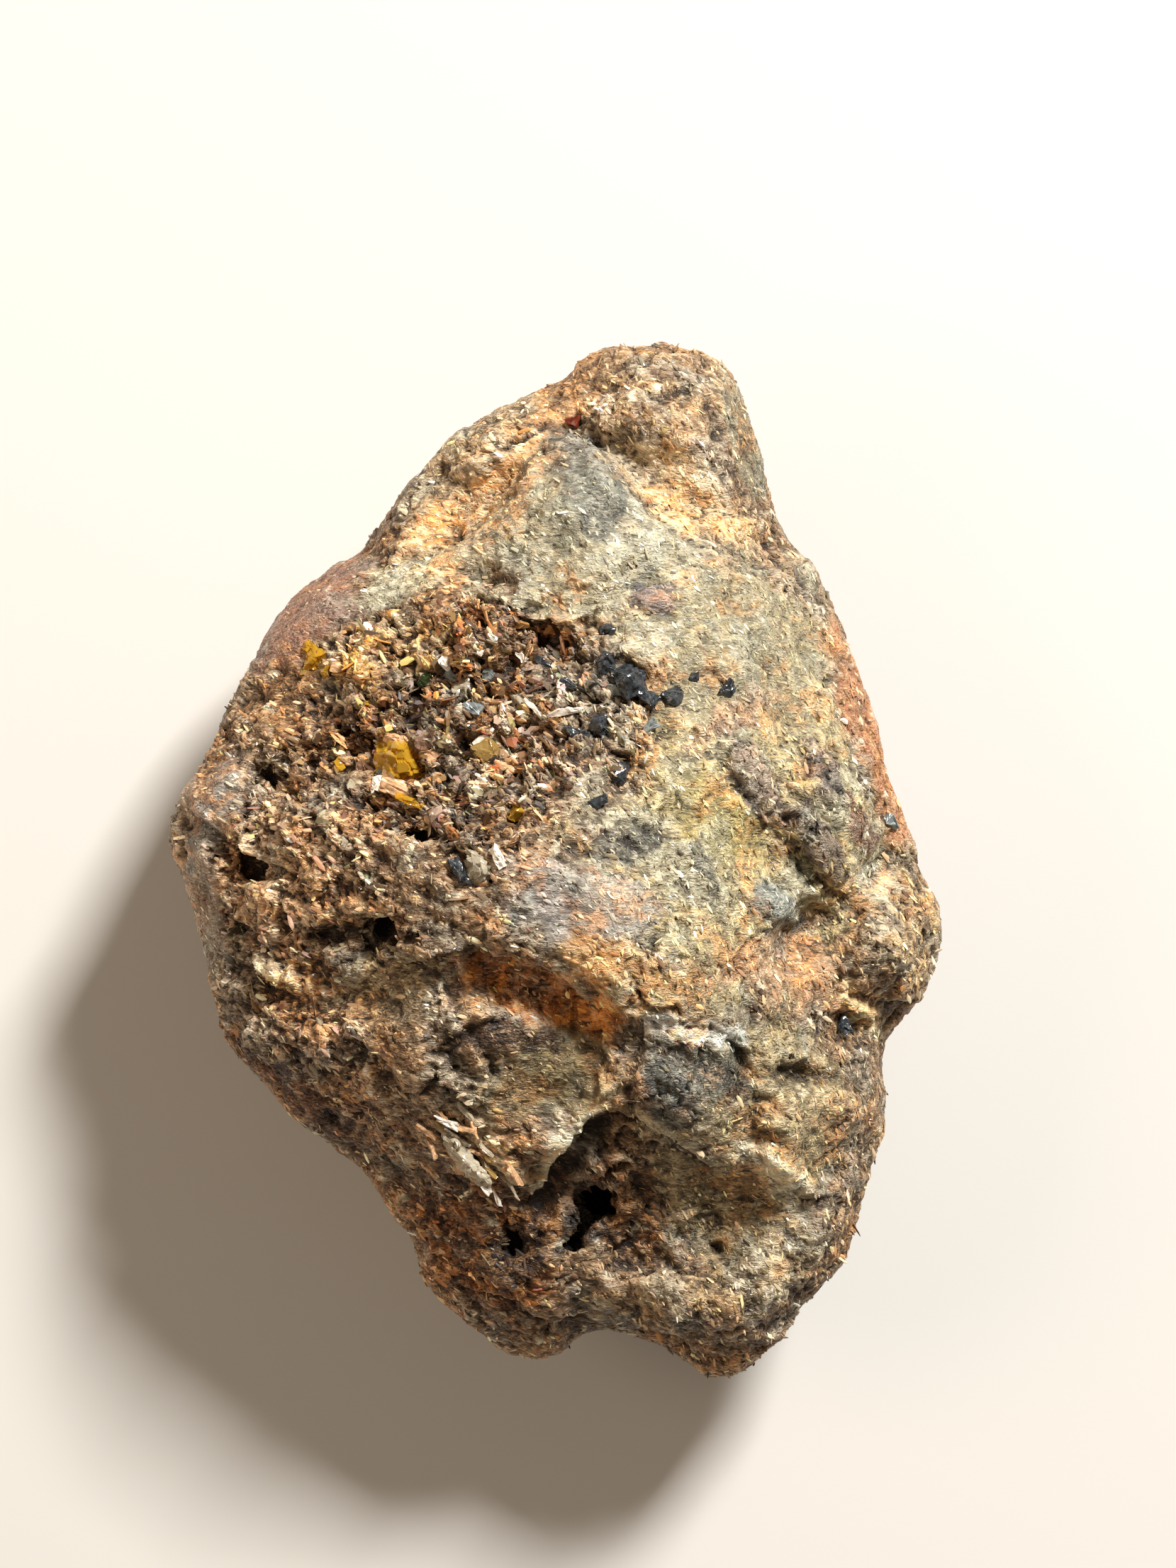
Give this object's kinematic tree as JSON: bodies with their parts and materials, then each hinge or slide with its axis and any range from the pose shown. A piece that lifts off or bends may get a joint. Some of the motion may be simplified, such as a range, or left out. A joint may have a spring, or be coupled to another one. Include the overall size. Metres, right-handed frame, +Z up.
{
  "type": "pallasite meteorite nugget",
  "caption": "Rough, uncut pallasite meteorite nugget: a rusty lump of iron-nickel with a pitted crust and clear and black olivine crystals set in its top.",
  "frame": {"origin": "on the surface that the nugget lies on, under the middle of its outline from above", "axes": "+Z up from that surface, +Y along the nugget's length, towards its narrow upper knob"},
  "size_m": [0.037, 0.05, 0.0211],
  "materials": {
    "meteorite_body": "rough, rusted iron-nickel with broken olivine grains",
    "olivine_amber_large": "clear amber olivine, broken faces",
    "olivine_amber_small": "clear amber olivine, broken faces",
    "olivine_amber_left": "yellow olivine, broken faces",
    "olivine_honey": "honey-coloured clear olivine",
    "olivine_clear_large": "pale clear olivine, broken faces",
    "olivine_clear_upper": "pale clear olivine, broken faces",
    "olivine_clear_middle": "pale clear olivine, broken faces",
    "olivine_splinter": "pale olivine splinter",
    "olivine_black_upper": null,
    "olivine_black_large": null,
    "olivine_black_right": null,
    "olivine_black_left": null,
    "olivine_black_lower": null
  },
  "bodies": {
    "root": {"meteorite_body": "meteorite_body", "olivine_amber_large": "olivine_amber_large", "olivine_amber_small": "olivine_amber_small", "olivine_amber_left": "olivine_amber_left", "olivine_honey": "olivine_honey", "olivine_clear_large": "olivine_clear_large", "olivine_clear_upper": "olivine_clear_upper", "olivine_clear_middle": "olivine_clear_middle", "olivine_splinter": "olivine_splinter", "olivine_black_upper": "olivine_black_upper", "olivine_black_large": "olivine_black_large", "olivine_black_right": "olivine_black_right", "olivine_black_left": "olivine_black_left", "olivine_black_lower": "olivine_black_lower"}
  },
  "joints": []
}
